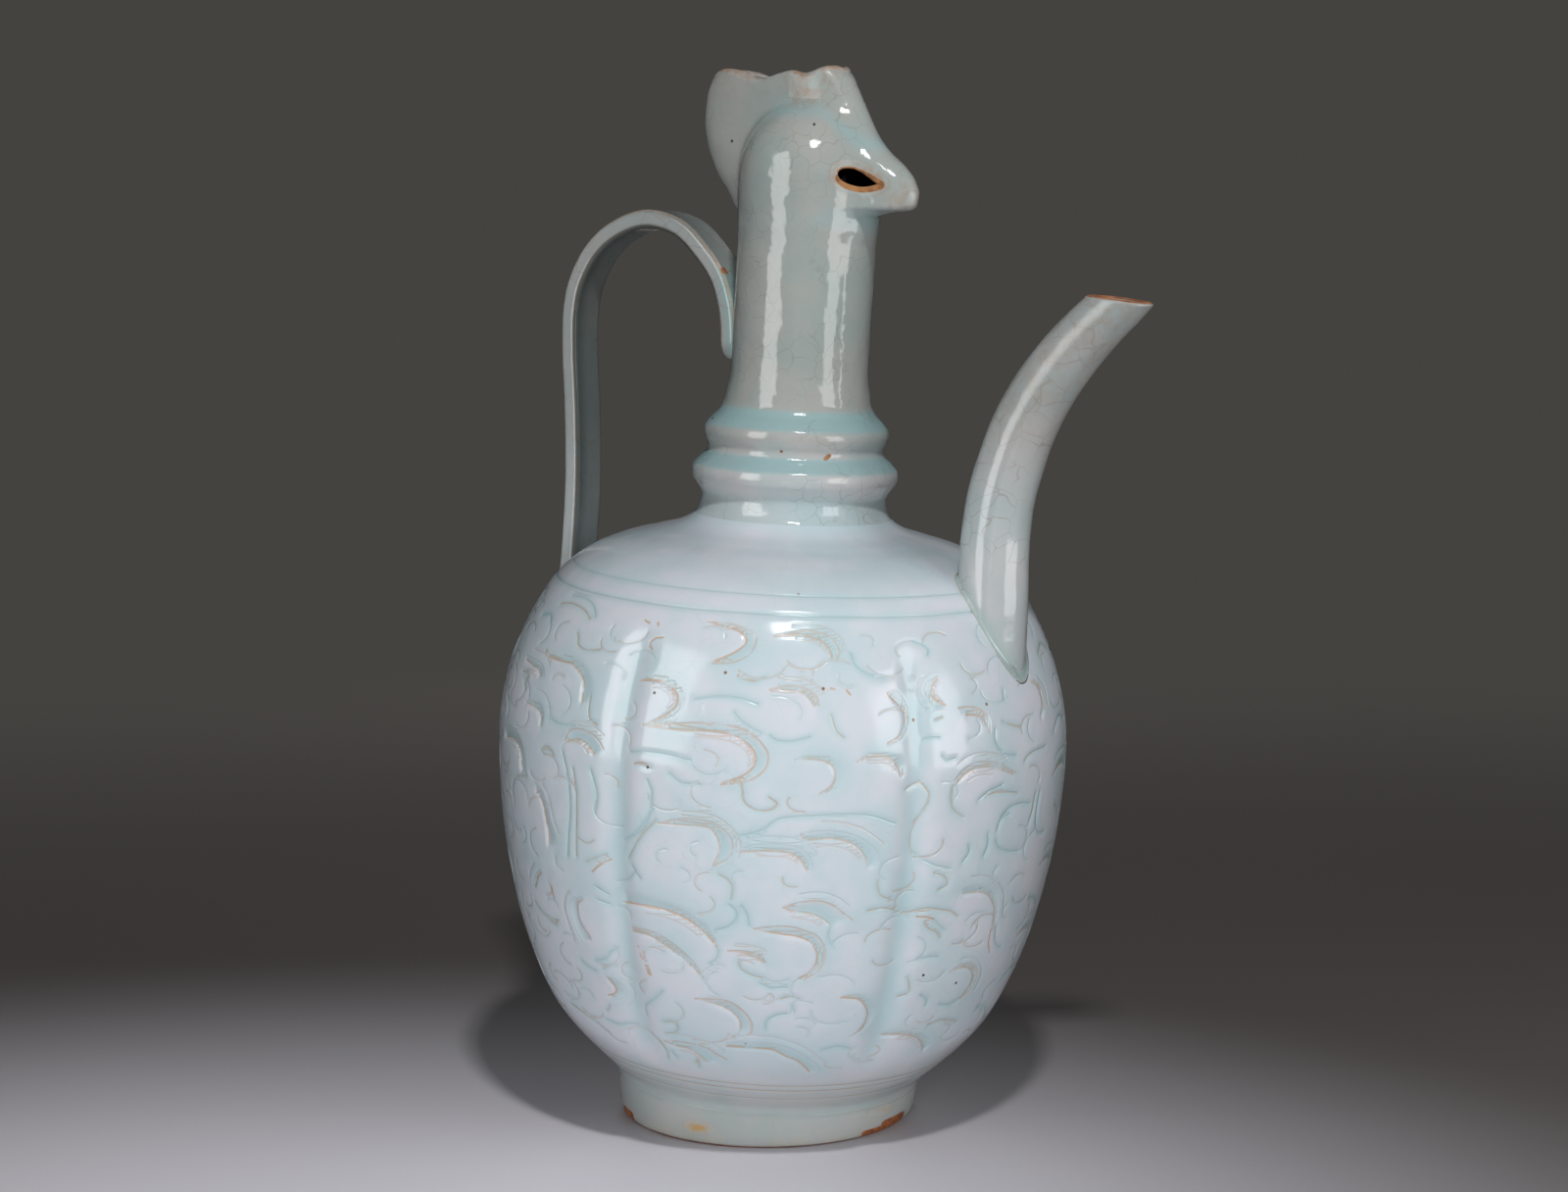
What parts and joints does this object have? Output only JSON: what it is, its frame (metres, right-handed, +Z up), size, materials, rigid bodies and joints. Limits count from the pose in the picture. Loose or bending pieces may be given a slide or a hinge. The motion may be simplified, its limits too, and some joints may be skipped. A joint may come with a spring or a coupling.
{
  "type": "celadon ewer",
  "caption": "Phoenix-head porcelain ewer: lobed carved body on a ring foot, ringed collar, bird's head with a crest mouth, swept spout and strap handle, pale celadon glaze.",
  "frame": {"origin": "centre of the bounding box at the plane the foot stands on, midway between the handle side and the spout's tip", "axes": "+Z up, +X from the handle towards the spout and the beak, +Y to the left when looking along +X"},
  "size_m": [0.2452, 0.2012, 0.3732],
  "materials": {
    "body_glaze": "glossy pale blue-white glaze over carving, pooling blue-green in the cuts",
    "neck_glaze": "glossy pale blue-green glaze with fine crackle",
    "fitting_glaze": "thin glossy grey-blue glaze with tan crackle, tan where it thins on edges",
    "foot_glaze": "glossy pale glaze, bare orange-brown clay on the tread",
    "bare_clay": "unglazed fired porcelain body, matt"
  },
  "bodies": {
    "root": {"foot_ring": "foot_glaze", "lower_body": "body_glaze", "upper_body": "body_glaze", "belly_seam_slip": "bare_clay", "neck_collar": "neck_glaze", "neck": "neck_glaze", "head": "neck_glaze", "crest": "neck_glaze", "spout": "fitting_glaze", "spout_slip_bead": "fitting_glaze", "handle": "fitting_glaze", "handle_slip_bead": "fitting_glaze"}
  },
  "joints": []
}
